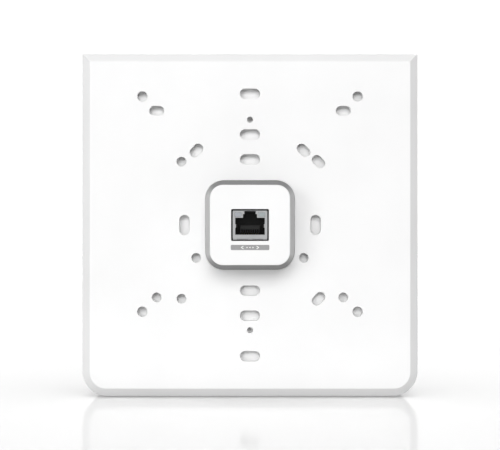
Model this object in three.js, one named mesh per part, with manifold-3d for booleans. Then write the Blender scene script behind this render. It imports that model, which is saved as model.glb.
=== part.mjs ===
// Square access point for a wall or ceiling junction box, with its mounting plate.
// Millimetres. Origin: centre of the plate's wall face, on the axis of the boss.
// +X right as seen from the wall side, +Y out of the wall into the room, +Z up.
import * as THREE from "three";
import { mergeVertices } from "three/addons/utils/BufferGeometryUtils.js";
import Module from "manifold-3d";

const wasm = await Module();
wasm.setup();

// ---------- driving dimensions ----------
const GAP = 0.15; // clearance between fitted pieces
const PAST = 1; // how far a cutting solid runs beyond the face that it cuts
const BITE = 0.1; // how far two joined solids overlap
const ARC = 5; // segments in a quarter of a rounded corner

// outline of the whole product: square top corners, round bottom corners
const OUTER_W = 155.4;
const OUTER_H = 158.5;
const BOTTOM_R = 11.6;

// mounting plate: a shallow tray whose rim is bevelled towards the wall
const BEVEL_IN = 4.05;
const BEVEL_DEPTH = 4.1;
const PLATE_RIM_Y = 5.0;
const PLATE_T = 2.2;
const RIM_WALL = 2.2;
const BOSS_OPENING_GAP = 0.3;

// screw slots and holes in the plate, placed from the boss axis
const BOX_SLOT = { long: 9.2, wide: 4.7 };
const BOX_SPACINGS = [120.6, 83.3, 60.3]; // screw spacings of wall boxes, slots above and below
const SIDE_SPACING = 60.3; // upright slots left and right
const PILOT = { r: 1.35, z: 48.4 };
const RAIL_SLOT = { long: 6.85, wide: 4.45 };
const SMALL_HOLE_R = 2.2;
const LARGE_HOLE_R = 2.35;
const CORNER_HOLE = { x: 49.5, high: 59.1, low: -39.9 };
const RAIL = { x: 42.9, high: 52.5, low: -33.3 };
const INNER_HOLE = { x: 24.7, z: -15.1 };
const TANGENT_SLOT = { x: 24.6, z: 34.3 };
const DIAGONAL = { x: 31.5, high: 29.1, low: -33.9 }; // round holes on the left, slots on the right

// boss that enters the wall box
const BOSS_BASE = 41.1;
const BOSS_BASE_R = 8.6;
const BOSS_DRAFT_IN = 2.75;
const BOSS_DEPTH = 17.0;
const BOSS_WALL = 2.0;
const BOSS_MOUTH = { side: 35.1, r: 5 }; // the boss hollow where it opens into the casing
const JACK_WINDOW = { w: 16.7, h: 14.1, r: 0.5 };
const LABEL = { w: 17.1, h: 2.3, r: 0.4, z: -9.96, ink: 0.12 };

// casing behind the plate
const HOUSING_Y = 3.9;
const HOUSING_T = 2.0;
const FLANGE_Y = 5.4;
const FLANGE_END_Y = 7.0;
const CASING_MARGIN = 7.2; // from the outline to the open middle of the housing
const COVER_Y = 5.3;
const COVER_FRONT_Y = 30.0;
const COVER_WALL = 2.2;
const COVER_EDGE_R = 5.0;
const COVER_SCREW_END = 19;
const PAD = { r: 3.0, tall: 0.6, x: 2.4, z: -46.2 }; // round pad on the back of the housing

// network jack, standing on the board and facing the wall
const JACK = { halfW: 7.75, low: -6.15, high: 6.45, faceY: -16.6, sheet: 0.35 };
const CAVITY = { halfW: 6.55, low: -4.3, high: 3.2, depth: 13.5 };
const NOTCH_WIDE = { halfW: 3.1, high: 4.83 };
const NOTCH_NARROW = { halfW: 2.5, high: 6.1 };
const SIDE_FINGER = { reach: 0.3, low: -1.25, high: 0.45, slope: 0.1 };
const FOOT_TAB = { low: -6.5, width: 1.9, depth: 2, x: [-6.7, 0, 6.7] };
const LED_WINDOW = { x0: 3.65, x1: 6.85, z0: 3.6, z1: 5.6, depth: 7.5, proud: 0.05 };
const COMB = { halfW: 4.4, low: -2.3, high: -0.1, depth: 3.4 };
const CONTACTS = 8;
const CONTACT_PITCH = 1.02;
const CONTACT_W = 0.36;
const CONTACT_T = 0.3;
const CONTACT_TAIL_Z = -5.0;
const CONTACT_TIP_Z = -2.6;
const CONTACT_BEND = { y: JACK.faceY + 1.3, run: 0.35, corner: 0.2 }; // the bend that faces the mouth
const CONTACT_TIP_Y = JACK.faceY + CAVITY.depth - COMB.depth + 1.2;
const CONTACT_WAY_SETBACK = 0.5;

// boards and what stands on them
const BOARD = { halfW: 60, halfH: 62, y0: 9.0, y1: 10.6 };
const SPREADER = { halfW: 58, z0: -30, z1: 60, y0: 13.8, y1: 15.8 };
const FINS = { count: 5, pitch: 12, thick: 1.6, tall: 4, z0: 2, z1: 34 };
const CAN_TALL = 2.6;
const CANS = [[26, 26, 0, 18], [24, 20, -34, 18], [24, 20, 34, 18]]; // width, height, x, z
const PAD_INSET = 2;
const TRANSFORMER = { w: 20, h: 17, tall: 10, x: 28, z: -46 };
const INDUCTOR = { w: 12, h: 12, tall: 6, x: 6, z: -44 };
const MAGNETICS = { w: 16, h: 10, tall: 3, x: 0, z: -20 };
const CAPACITOR = { r: 4, tall: 10, z: -44, x: [-14, -24] };
const POST_R = 3.5;
const BOSS_POST_R = 4.5; // the posts that the housing screws pass through
const LONG_SCREW_SPOTS = [[-52, 54], [52, 54], [-52, -24], [52, -24]];
const SHORT_SCREW_SPOTS = [[-52, -54], [52, -54]];
const HOUSING_SCREW_SPOTS = [[-67.5, 69.5], [67.5, 69.5], [-67.5, -69.5], [67.5, -69.5]];
const ANTENNA = { foot: 6, reach: 9.5, width: 10, tall: 8, sheet: 0.5 };
const ANTENNA_SPOTS = [[-34, 50], [34, 50], [-44, 20], [44, 20], [-30, -20], [30, -20]];
const SHANK_R = 1.25;
const HEAD_R = 2.5;
const HEAD_T = 1.3;
const DRIVE = { r: 1.1, depth: 0.8 }; // hexagonal socket in a screw's head
const HOUSING_SCREW_LONG = 12;

// latch behind the tool slot in the top bevel
const LATCH = { halfW: 5.0, z0: 69.8, z1: 76.3, y0: 2.5, y1: 3.7, neck: 1.4, shoulder: 2.6, slope: 0.8 };
const LATCH_POCKET = { z0: 70, z1: 76.7, side: 0.7 };
const LATCH_GUIDE = { z0: 64, z1: 73.5, wall: 1.4, side: 0.5 };
const TOOL_SLOT = { long: 6.0, wide: 0.6, x: -0.2, y: 2.75 };
const TOOL_SLOT_Z = [76, 80];
const SPRING = { z0: 65.4, halfW: 3.2, wire: 0.4, runs: 5, thinner: 0.2 };

// reset button behind a pinhole in the bottom edge, and the light in the front
const RESET_X = -30;
const RESET_Y = 12.4;
const PINHOLE_R = 0.9;
const SWITCH = { w: 6, h: 3.4, tall: 3.6, edge: 0.4, pocket: 1.2 };
const PLUNGER = { halfW: 1.4, halfD: 0.7, stroke: 1, inside: 0.4 };
const BUTTON = { halfW: 2, halfD: 1.2, behind: 0.7 };
const LIGHT = { halfW: 4.0, halfH: 1.2, z: -58, above: 1.4 };
const STATUS_LED = { w: 3, h: 1.6, tall: 1 };
const FAR = 200; // beyond the whole product

// ---------- materials ----------
const finish = (color, roughness, metalness = 0) =>
  new THREE.MeshStandardMaterial({ color, roughness, metalness });

const WHITE_PLASTIC = finish(0xf4f4f3, 0.55);
const DARK_PLASTIC = finish(0x1c1c1d, 0.5);
const SHIELD_METAL = finish(0xb4b5b6, 0.35, 0.9);
const GOLD = finish(0xc9a653, 0.3, 1.0);
const LABEL_GREY = finish(0xa5a5a6, 0.6);
const ALUMINIUM = finish(0xc3c6c8, 0.5, 0.9);
const BOARD_BLACK = finish(0x1a201e, 0.5);
const TIN = finish(0xc8c9c6, 0.3, 0.9);
const PAD_GREY = finish(0x8d9aa6, 0.85);
const FERRITE = finish(0x2b2b2d, 0.6);
const CAN_ALUMINIUM = finish(0xaeb3b8, 0.35, 0.9);
const SCREW_STEEL = finish(0x8f9294, 0.35, 1.0);
const CLEAR_PLASTIC = finish(0xeef3f6, 0.2);
const SPRING_STEEL = finish(0x9a9da0, 0.3, 1.0);

// ---------- solids ----------
function solid(geometry) {
  const bare = geometry.clone();
  bare.deleteAttribute("normal");
  bare.deleteAttribute("uv");
  const merged = mergeVertices(bare, 1e-4);
  return new wasm.Manifold(new wasm.Mesh({
    numProp: 3,
    vertProperties: new Float32Array(merged.attributes.position.array),
    triVerts: new Uint32Array(merged.index.array),
  }));
}

function geometryOf(body) {
  const mesh = body.getMesh();
  const geometry = new THREE.BufferGeometry();
  geometry.setAttribute("position", new THREE.BufferAttribute(mesh.vertProperties, 3));
  geometry.setIndex(new THREE.BufferAttribute(mesh.triVerts, 1));
  geometry.computeVertexNormals();
  return geometry;
}

const group = new THREE.Group();

function add(name, body, material) {
  const mesh = new THREE.Mesh(geometryOf(body), material);
  mesh.name = name;
  group.add(mesh);
  return mesh;
}

// A rectangle with round corners, centred at (x, z); each corner has its own radius.
function roundRect(w, h, { x = 0, z = 0, top = 0, bottom = top } = {}) {
  const shape = new THREE.Shape();
  const corners = [
    [x + w / 2, z - h / 2, bottom, -Math.PI / 2],
    [x + w / 2, z + h / 2, top, 0],
    [x - w / 2, z + h / 2, top, Math.PI / 2],
    [x - w / 2, z - h / 2, bottom, Math.PI],
  ];
  const points = [];
  for (const [cx, cz, r, start] of corners) {
    const inX = cx - Math.sign(cx - x) * r;
    const inZ = cz - Math.sign(cz - z) * r;
    const steps = r > 0 ? ARC : 0;
    for (let i = 0; i <= steps; i += 1) {
      const angle = start + (steps ? (i / steps) * (Math.PI / 2) : 0);
      points.push(new THREE.Vector2(inX + r * Math.cos(angle), inZ + r * Math.sin(angle)));
    }
  }
  shape.setFromPoints(points);
  return shape;
}

function polygon(points) {
  return new THREE.Shape(points.map(([a, b]) => new THREE.Vector2(a, b)));
}

// A shape drawn in X and Z, extruded from y0 to y1.
function slab(shape, y0, y1) {
  const geometry = new THREE.ExtrudeGeometry(shape, { depth: y1 - y0, bevelEnabled: false });
  return solid(geometry.rotateX(Math.PI / 2).translate(0, y1, 0));
}

function box(x0, x1, y0, y1, z0, z1) {
  const geometry = new THREE.BoxGeometry(x1 - x0, y1 - y0, z1 - z0);
  return solid(geometry.translate((x0 + x1) / 2, (y0 + y1) / 2, (z0 + z1) / 2));
}

// A shape drawn in X and Z from y0 to y1. The end on `side` shrinks by `inset` over `depth`.
function bevelled(shape, y0, y1, inset, depth, { side = -1, segments = 1 } = {}) {
  const geometry = new THREE.ExtrudeGeometry(shape, {
    depth: y1 - y0,
    bevelEnabled: true,
    bevelThickness: depth,
    bevelSize: inset,
    bevelOffset: -inset,
    bevelSegments: segments,
  });
  const body = solid(geometry.rotateX(Math.PI / 2).translate(0, y1 - side * depth, 0));
  const start = side < 0 ? y0 - PAST : y0;
  const end = side < 0 ? y1 : y1 + PAST;
  return body.intersect(box(-FAR, FAR, start, end, -FAR, FAR));
}

function rod(r, x, z, y0, y1, segments = 12) {
  const geometry = new THREE.CylinderGeometry(r, r, y1 - y0, segments);
  return solid(geometry.translate(x, (y0 + y1) / 2, z));
}

function uprightRod(r, x, y, z0, z1, segments = 12) {
  const geometry = new THREE.CylinderGeometry(r, r, z1 - z0, segments).rotateX(Math.PI / 2);
  return solid(geometry.translate(x, y, (z0 + z1) / 2));
}

function stadium(long, wide, x, z, degrees = 0) {
  const geometry = new THREE.ExtrudeGeometry(
    roundRect(long, wide, { top: wide / 2 - 0.001 }),
    { depth: 4 * PLATE_T, bevelEnabled: false },
  );
  geometry.rotateX(Math.PI / 2).rotateY(THREE.MathUtils.degToRad(-degrees));
  return solid(geometry.translate(x, 2 * PLATE_T, z));
}

const union = (bodies) => bodies.reduce((all, one) => all.add(one));

function productOutline(inset = 0) {
  return roundRect(OUTER_W - 2 * inset, OUTER_H - 2 * inset, {
    top: 0,
    bottom: BOTTOM_R - inset,
  });
}

// ---------- mounting plate ----------
const plateHole = (r, x, z) => rod(r, x, z, -PAST, 2 * PLATE_T);
const boxSlot = (x, z, degrees = 0) => stadium(BOX_SLOT.long, BOX_SLOT.wide, x, z, degrees);
const railSlot = (x, z, degrees = 0) => stadium(RAIL_SLOT.long, RAIL_SLOT.wide, x, z, degrees);

function plateHoles() {
  const holes = [];
  for (const side of [-1, 1]) {
    holes.push(boxSlot((side * SIDE_SPACING) / 2, 0, 90));
    for (const spacing of BOX_SPACINGS) {
      holes.push(boxSlot(0, (side * spacing) / 2));
    }
    holes.push(plateHole(PILOT.r, 0, side * PILOT.z));
    holes.push(plateHole(LARGE_HOLE_R, side * CORNER_HOLE.x, CORNER_HOLE.high));
    holes.push(plateHole(LARGE_HOLE_R, side * CORNER_HOLE.x, CORNER_HOLE.low));
    holes.push(railSlot(side * RAIL.x, RAIL.high));
    holes.push(plateHole(SMALL_HOLE_R, side * RAIL.x, RAIL.low));
    holes.push(plateHole(SMALL_HOLE_R, side * INNER_HOLE.x, INNER_HOLE.z));
    holes.push(railSlot(side * TANGENT_SLOT.x, TANGENT_SLOT.z, -side * 45));
    const diagonalZ = side > 0 ? DIAGONAL.high : DIAGONAL.low;
    holes.push(plateHole(SMALL_HOLE_R, -DIAGONAL.x, diagonalZ));
    holes.push(railSlot(DIAGONAL.x, diagonalZ, -side * 45));
  }
  return union(holes);
}

function mountingPlate() {
  const shell = bevelled(productOutline(), 0, PLATE_RIM_Y, BEVEL_IN, BEVEL_DEPTH);
  const trayInset = PLATE_RIM_Y - PLATE_T;
  const tray = bevelled(productOutline(RIM_WALL), PLATE_T, PLATE_RIM_Y + PAST, trayInset, trayInset);
  const openingSide = BOSS_BASE + 2 * BOSS_OPENING_GAP;
  const opening = roundRect(openingSide, openingSide, { top: BOSS_BASE_R + BOSS_OPENING_GAP });
  const half = LATCH.halfW + LATCH_POCKET.side;
  const pocket = box(-half, half, PLATE_T, PLATE_RIM_Y + PAST, LATCH_POCKET.z0, LATCH_POCKET.z1);
  const slotX = TOOL_SLOT.x - TOOL_SLOT.long / 2;
  const slotY = TOOL_SLOT.y - TOOL_SLOT.wide / 2;
  const toolSlot = box(slotX, slotX + TOOL_SLOT.long, slotY, slotY + TOOL_SLOT.wide, ...TOOL_SLOT_Z);
  return shell
    .subtract(tray)
    .subtract(slab(opening, -PAST, PLATE_T + PAST))
    .subtract(plateHoles())
    .subtract(pocket)
    .subtract(toolSlot);
}

// ---------- rear housing with its boss ----------
function bossSolid(inset) {
  const side = BOSS_BASE - 2 * inset;
  const shape = roundRect(side, side, { top: BOSS_BASE_R - inset });
  return bevelled(shape, -BOSS_DEPTH + inset, HOUSING_Y + HOUSING_T / 4, BOSS_DRAFT_IN, BOSS_DEPTH);
}

function latchGuides() {
  const { z0, z1, wall, side } = LATCH_GUIDE;
  const near = LATCH.halfW + side;
  const far = near + wall;
  return union([
    box(-far, -near, LATCH.y0, HOUSING_Y + BITE, z0, z1),
    box(near, far, LATCH.y0, HOUSING_Y + BITE, z0, z1),
    box(-far, far, LATCH.y0, HOUSING_Y + BITE, z0, SPRING.z0 - GAP),
  ]);
}

function rearHousing() {
  const panel = slab(productOutline(BEVEL_IN + GAP), HOUSING_Y, FLANGE_END_Y);
  const flange = slab(productOutline(COVER_WALL + 2 * GAP), FLANGE_Y, FLANGE_END_Y);
  const floorY = HOUSING_Y + HOUSING_T;
  const hollow = slab(productOutline(CASING_MARGIN), floorY, FLANGE_END_Y + PAST);
  const pad = rod(PAD.r, PAD.x, PAD.z, HOUSING_Y - PAD.tall, HOUSING_Y + BITE, 20);
  let body = union([panel.add(flange).subtract(hollow), bossSolid(0), latchGuides(), pad]);
  for (const [x, z] of [...LONG_SCREW_SPOTS, ...SHORT_SCREW_SPOTS]) {
    body = body
      .add(rod(POST_R, x, z, floorY - PAST, BOARD.y0 - GAP))
      .subtract(rod(SHANK_R + GAP, x, z, floorY, BOARD.y0 + PAST));
  }
  for (const [x, z] of HOUSING_SCREW_SPOTS) {
    body = body
      .add(rod(BOSS_POST_R, x, z, floorY - PAST, FLANGE_END_Y))
      .subtract(rod(HEAD_R + 2 * GAP, x, z, HOUSING_Y - PAST, HOUSING_Y + HEAD_T + GAP))
      .subtract(rod(SHANK_R + GAP, x, z, HOUSING_Y - PAST, FLANGE_END_Y + PAST));
  }
  const window = roundRect(JACK_WINDOW.w, JACK_WINDOW.h, { top: JACK_WINDOW.r });
  const bossHollow = bossSolid(BOSS_WALL).add(
    slab(roundRect(BOSS_MOUTH.side, BOSS_MOUTH.side, { top: BOSS_MOUTH.r }), 0, FLANGE_END_Y + PAST),
  );
  return body.subtract(bossHollow).subtract(slab(window, -BOSS_DEPTH - PAST, 0));
}

// ---------- front cover ----------
function frontCover() {
  const wallY = COVER_FRONT_Y - COVER_WALL;
  const innerEdge = COVER_EDGE_R - COVER_WALL;
  const outer = bevelled(productOutline(), COVER_Y, COVER_FRONT_Y, COVER_EDGE_R, COVER_EDGE_R, {
    side: 1,
    segments: 4,
  });
  const inner = bevelled(productOutline(COVER_WALL), COVER_Y - PAST, wallY, innerEdge, innerEdge, {
    side: 1,
    segments: 3,
  });
  let body = outer.subtract(inner);
  for (const [x, z] of HOUSING_SCREW_SPOTS) {
    body = body
      .add(rod(POST_R, x, z, FLANGE_END_Y + GAP, wallY + BITE))
      .subtract(rod(SHANK_R + GAP, x, z, FLANGE_END_Y, COVER_SCREW_END));
  }
  const light = roundRect(2 * (LIGHT.halfW + GAP), 2 * (LIGHT.halfH + GAP), {
    z: LIGHT.z,
    top: LIGHT.halfH,
  });
  const edge = -OUTER_H / 2;
  return body
    .subtract(slab(light, wallY - PAST, COVER_FRONT_Y + PAST))
    .subtract(uprightRod(PINHOLE_R, RESET_X, RESET_Y, edge - PAST, edge + COVER_WALL + PAST));
}

// ---------- release latch ----------
function releaseLatch() {
  const { halfW, z0, z1, y0, y1 } = LATCH;
  const neck = halfW - LATCH.neck;
  const shoulder = z0 + LATCH.shoulder;
  const throat = shoulder + LATCH.slope;
  const outline = polygon([
    [-halfW, z0], [halfW, z0], [halfW, shoulder], [neck, throat],
    [neck, z1], [-neck, z1], [-neck, throat], [-halfW, shoulder],
  ]);
  return slab(outline, y0, y1);
}

// A flat serpentine spring: level runs joined at alternate ends.
function latchSpring() {
  const { z0, halfW, wire, runs } = SPRING;
  const y0 = LATCH.y0 + SPRING.thinner;
  const y1 = LATCH.y1 - SPRING.thinner;
  const rise = (LATCH.z0 - GAP - z0 - wire) / runs;
  const bodies = [];
  for (let i = 0; i <= runs; i += 1) {
    const z = z0 + i * rise;
    bodies.push(box(-halfW, halfW, y0, y1, z, z + wire));
    if (i < runs) {
      const x = i % 2 ? -halfW : halfW - wire;
      bodies.push(box(x, x + wire, y0, y1, z + wire / 2, z + rise + wire / 2));
    }
  }
  return union(bodies);
}

// ---------- network jack ----------
// The stepped mouth of the socket. Fingers of the shield may reach in from both sides.
function socketOutline(grow, finger = 0) {
  const wide = CAVITY.halfW + grow;
  const mid = NOTCH_WIDE.halfW + grow;
  const narrow = NOTCH_NARROW.halfW + grow;
  const { low, high, slope } = SIDE_FINGER;
  const right = [
    [wide, CAVITY.low - grow],
    [wide, low - slope], [wide - finger, low + slope],
    [wide - finger, high - slope], [wide, high + slope],
    [wide, CAVITY.high + grow], [mid, CAVITY.high + grow],
    [mid, NOTCH_WIDE.high + grow], [narrow, NOTCH_WIDE.high + grow], [narrow, NOTCH_NARROW.high + grow],
  ];
  const left = right.map(([x, z]) => [-x, z]).reverse();
  return polygon([...right, ...left]);
}

// One of the two windows above the shoulders of the socket, shrunk by a clearance.
function ledWindow(side, shrink, y0, y1) {
  const { x0, x1, z0, z1 } = LED_WINDOW;
  const near = side * (x0 + shrink);
  const far = side * (x1 - shrink);
  return box(Math.min(near, far), Math.max(near, far), y0, y1, z0 + shrink, z1 - shrink);
}

function jackShell() {
  const { halfW, low, high, faceY, sheet } = JACK;
  const back = BOARD.y0 - GAP;
  let body = box(-halfW, halfW, faceY, back, low, high);
  for (const x of FOOT_TAB.x) {
    const half = FOOT_TAB.width / 2;
    body = body.add(box(x - half, x + half, faceY, faceY + FOOT_TAB.depth, FOOT_TAB.low, low + sheet));
  }
  return body
    .subtract(box(-halfW + sheet, halfW - sheet, faceY + sheet, back + PAST, low + sheet, high - sheet))
    .subtract(slab(socketOutline(0, SIDE_FINGER.reach), faceY - PAST, faceY + PAST))
    .subtract(ledWindow(-1, 0, faceY - PAST, faceY + PAST))
    .subtract(ledWindow(1, 0, faceY - PAST, faceY + PAST));
}

const contactX = (i) => (i - (CONTACTS - 1) / 2) * CONTACT_PITCH;

function jackInsert() {
  const { halfW, low, high, faceY, sheet } = JACK;
  const inset = sheet + GAP;
  const front = faceY + inset;
  const cavityEnd = faceY + CAVITY.depth;
  const ledEnd = faceY + LED_WINDOW.depth + 2 * GAP;
  let body = box(-halfW + inset, halfW - inset, front, BOARD.y0 - 2 * GAP, low + inset, high - inset)
    .subtract(slab(socketOutline(GAP), front - PAST, cavityEnd))
    .add(box(-COMB.halfW, COMB.halfW, cavityEnd - COMB.depth, cavityEnd + BITE, COMB.low, COMB.high))
    .subtract(ledWindow(-1, 0, front - PAST, ledEnd))
    .subtract(ledWindow(1, 0, front - PAST, ledEnd));
  for (let i = 0; i < CONTACTS; i += 1) {
    const x = contactX(i);
    const half = CONTACT_W / 2 + GAP;
    const floor = CONTACT_TAIL_Z - CONTACT_T / 2 - GAP;
    const roof = CONTACT_TAIL_Z + CONTACT_T / 2 + GAP;
    const start = front + CONTACT_WAY_SETBACK;
    body = body
      .subtract(box(x - half, x + half, start, BOARD.y0, floor, roof))
      .subtract(box(x - half, x + half, start, cavityEnd, floor, CAVITY.low));
  }
  return body;
}

// One contact: a tail from the board under the floor, a bend at the mouth, and a sprung arm up to the comb.
function jackContact(x) {
  const { y, run, corner } = CONTACT_BEND;
  const end = BOARD.y0 - GAP;
  const half = CONTACT_T / 2;
  const low = CONTACT_TAIL_Z - half;
  const high = CONTACT_TAIL_Z + half;
  const inside = y + run + half;
  const outline = polygon([
    [end, low], [end, high], [inside, high], [y + run, high + corner / 2], [inside, high + corner],
    [CONTACT_TIP_Y, CONTACT_TIP_Z - half], [CONTACT_TIP_Y, CONTACT_TIP_Z + half],
    [y + run, high + corner + CONTACT_T], [y, high + corner], [y, low + corner / 2], [y + corner, low],
  ]);
  const geometry = new THREE.ExtrudeGeometry(outline, { depth: CONTACT_W, bevelEnabled: false });
  // drawn in Y and Z: the first axis of the sheet becomes Y, the second Z, and its depth X
  const turn = new THREE.Matrix4().set(0, 0, 1, 0, 1, 0, 0, 0, 0, 1, 0, 0, 0, 0, 0, 1);
  return solid(geometry.applyMatrix4(turn).translate(x - CONTACT_W / 2, 0, 0));
}

function jackLed(side) {
  return ledWindow(side, GAP, JACK.faceY - LED_WINDOW.proud, JACK.faceY + LED_WINDOW.depth);
}

// ---------- screws ----------
// Drawn with the seat of its head at the origin and its shank along +Y.
function screw(length) {
  const head = rod(HEAD_R, 0, 0, -HEAD_T, 0);
  const shank = rod(SHANK_R, 0, 0, -BITE, length, 8);
  const socket = rod(DRIVE.r, 0, 0, -HEAD_T - PAST, -HEAD_T + DRIVE.depth, 6);
  return head.add(shank).subtract(socket);
}

// ---------- inside ----------
function mainBoard() {
  let body = box(-BOARD.halfW, BOARD.halfW, BOARD.y0, BOARD.y1, -BOARD.halfH, BOARD.halfH);
  for (const [x, z] of [...LONG_SCREW_SPOTS, ...SHORT_SCREW_SPOTS]) {
    body = body.subtract(rod(SHANK_R + GAP, x, z, BOARD.y0 - PAST, BOARD.y1 + PAST));
  }
  return body;
}

function heatSpreader() {
  const { halfW, z0, z1, y0, y1 } = SPREADER;
  let body = box(-halfW, halfW, y0, y1, z0, z1);
  for (let i = 0; i < FINS.count; i += 1) {
    const x = (i - (FINS.count - 1) / 2) * FINS.pitch;
    const half = FINS.thick / 2;
    body = body.add(box(x - half, x + half, y1 - BITE, y1 + FINS.tall, FINS.z0, FINS.z1));
  }
  for (const [x, z] of LONG_SCREW_SPOTS) {
    body = body
      .add(rod(POST_R, x, z, BOARD.y1 + GAP, y0 + BITE))
      .subtract(rod(SHANK_R + GAP, x, z, BOARD.y1 - PAST, y1 + PAST));
  }
  return body;
}

// A stamped inverted-F antenna: a foot, a leg and a top plate. Its foot stands at the origin.
function antenna() {
  const { foot, reach, width, tall, sheet } = ANTENNA;
  return union([
    box(-reach, foot - reach, 0, sheet, -width / 2, width / 2),
    box(-reach, sheet - reach, 0, tall, -width / 2, width / 2),
    box(-reach, reach, tall - sheet, tall, -width / 2, width / 2),
  ]);
}

// A block on the board.
const standing = ({ w, h, tall, x, z }) =>
  box(x - w / 2, x + w / 2, BOARD.y1, BOARD.y1 + tall, z - h / 2, z + h / 2);

function thermalPad({ w, h, x, z }) {
  const half = Math.min(w, h) / 2 - PAD_INSET;
  const low = BOARD.y1 + CAN_TALL + GAP / 2;
  return box(x - half, x + half, low, SPREADER.y0 - GAP / 2, z - half, z + half);
}

function lightGuide() {
  const { halfW, halfH, z, above } = LIGHT;
  const shape = roundRect(2 * halfW, 2 * halfH, { z, top: halfH - 0.01 });
  return slab(shape, BOARD.y1 + above, COVER_FRONT_Y);
}

// ---------- reset button ----------
const switchLow = -BOARD.halfH + SWITCH.edge;
const plungerLow = switchLow - PLUNGER.stroke;

function plunger(grow, z1) {
  const halfW = PLUNGER.halfW + grow;
  const halfD = PLUNGER.halfD + grow;
  return box(RESET_X - halfW, RESET_X + halfW, RESET_Y - halfD, RESET_Y + halfD, plungerLow, z1);
}

function resetSwitch() {
  const body = standing({ ...SWITCH, x: RESET_X, z: switchLow + SWITCH.h / 2 });
  return body.subtract(plunger(GAP, switchLow + SWITCH.pocket));
}

function resetButton() {
  const { halfW, halfD, behind } = BUTTON;
  const tip = -OUTER_H / 2 + COVER_WALL + behind;
  return box(RESET_X - halfW, RESET_X + halfW, RESET_Y - halfD, RESET_Y + halfD, tip, plungerLow);
}

// ---------- assembly ----------
add("mounting_plate", mountingPlate(), WHITE_PLASTIC);
add("rear_housing", rearHousing(), WHITE_PLASTIC);
add("front_cover", frontCover(), WHITE_PLASTIC);
add("release_latch", releaseLatch(), WHITE_PLASTIC);
add("latch_spring", latchSpring(), SPRING_STEEL);

add("jack_shell", jackShell(), SHIELD_METAL);
add("jack_insert", jackInsert(), DARK_PLASTIC);
for (let i = 0; i < CONTACTS; i += 1) {
  add(`jack_contact_${i + 1}`, jackContact(contactX(i)), GOLD);
}
add("jack_led_left", jackLed(-1), CLEAR_PLASTIC);
add("jack_led_right", jackLed(1), CLEAR_PLASTIC);
const labelShape = roundRect(LABEL.w, LABEL.h, { z: LABEL.z, top: LABEL.r });
add("port_label", slab(labelShape, -BOSS_DEPTH - LABEL.ink, -BOSS_DEPTH), LABEL_GREY);

add("main_board", mainBoard(), BOARD_BLACK);
add("heat_spreader", heatSpreader(), ALUMINIUM);
CANS.forEach(([w, h, x, z], i) => {
  add(`shield_can_${i + 1}`, standing({ w, h, tall: CAN_TALL, x, z }), TIN);
  add(`thermal_pad_${i + 1}`, thermalPad({ w, h, x, z }), PAD_GREY);
});
ANTENNA_SPOTS.forEach(([x, z], i) => {
  const mesh = add(`antenna_${i + 1}`, antenna(), TIN);
  mesh.position.set(x, SPREADER.y1 + GAP, z);
  mesh.rotation.y = x > 0 ? Math.PI : 0;
});

add("power_transformer", standing(TRANSFORMER), FERRITE);
add("power_inductor", standing(INDUCTOR), FERRITE);
CAPACITOR.x.forEach((x, i) => {
  const can = rod(CAPACITOR.r, x, CAPACITOR.z, BOARD.y1, BOARD.y1 + CAPACITOR.tall, 16);
  add(`capacitor_${i + 1}`, can, CAN_ALUMINIUM);
});
add("ethernet_magnetics", standing(MAGNETICS), FERRITE);
add("status_led", standing({ ...STATUS_LED, x: 0, z: LIGHT.z }), CLEAR_PLASTIC);
add("light_guide", lightGuide(), CLEAR_PLASTIC);

add("reset_switch", resetSwitch(), DARK_PLASTIC);
add("switch_plunger", plunger(0, switchLow + PLUNGER.inside), DARK_PLASTIC);
add("reset_button", resetButton(), WHITE_PLASTIC);

HOUSING_SCREW_SPOTS.forEach(([x, z], i) => {
  const mesh = add(`housing_screw_${i + 1}`, screw(HOUSING_SCREW_LONG), SCREW_STEEL);
  mesh.position.set(x, HOUSING_Y + HEAD_T, z);
});
[...LONG_SCREW_SPOTS, ...SHORT_SCREW_SPOTS].forEach(([x, z], i) => {
  const seat = i < LONG_SCREW_SPOTS.length ? SPREADER.y1 : BOARD.y1;
  const mesh = add(`board_screw_${i + 1}`, screw(seat - HOUSING_Y - HOUSING_T - GAP), SCREW_STEEL);
  mesh.position.set(x, seat + GAP, z);
  mesh.rotation.z = Math.PI;
});

export default group;
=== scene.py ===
"""A square access point for a junction box, seen from its wall side as it stands on its bottom edge.

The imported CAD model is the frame: every piece here takes its place from it and rides on its bodies.
Metres. +X right as seen from the wall side, +Y out of the wall into the room, +Z up.
"""

from math import cos, radians, sin

import bmesh
import bpy
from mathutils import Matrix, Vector
from mathutils.geometry import tessellate_polygon


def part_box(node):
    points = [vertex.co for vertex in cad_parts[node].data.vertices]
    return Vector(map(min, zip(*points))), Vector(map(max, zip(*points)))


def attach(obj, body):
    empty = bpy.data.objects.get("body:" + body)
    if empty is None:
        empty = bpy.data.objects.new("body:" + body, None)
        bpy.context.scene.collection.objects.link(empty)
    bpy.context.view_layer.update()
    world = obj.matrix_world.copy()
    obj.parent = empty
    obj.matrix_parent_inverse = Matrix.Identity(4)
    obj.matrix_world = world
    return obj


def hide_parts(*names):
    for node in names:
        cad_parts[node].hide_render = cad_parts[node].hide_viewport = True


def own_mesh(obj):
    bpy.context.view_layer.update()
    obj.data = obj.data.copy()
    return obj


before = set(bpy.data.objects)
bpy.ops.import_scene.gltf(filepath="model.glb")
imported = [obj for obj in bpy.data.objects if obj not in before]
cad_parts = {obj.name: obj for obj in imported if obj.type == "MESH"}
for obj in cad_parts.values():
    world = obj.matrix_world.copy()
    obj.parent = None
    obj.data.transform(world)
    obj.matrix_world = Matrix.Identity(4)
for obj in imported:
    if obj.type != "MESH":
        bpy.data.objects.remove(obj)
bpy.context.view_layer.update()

MM = 0.001
CORNERS = ((-1, -1), (1, -1), (1, 1), (-1, 1))

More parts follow.
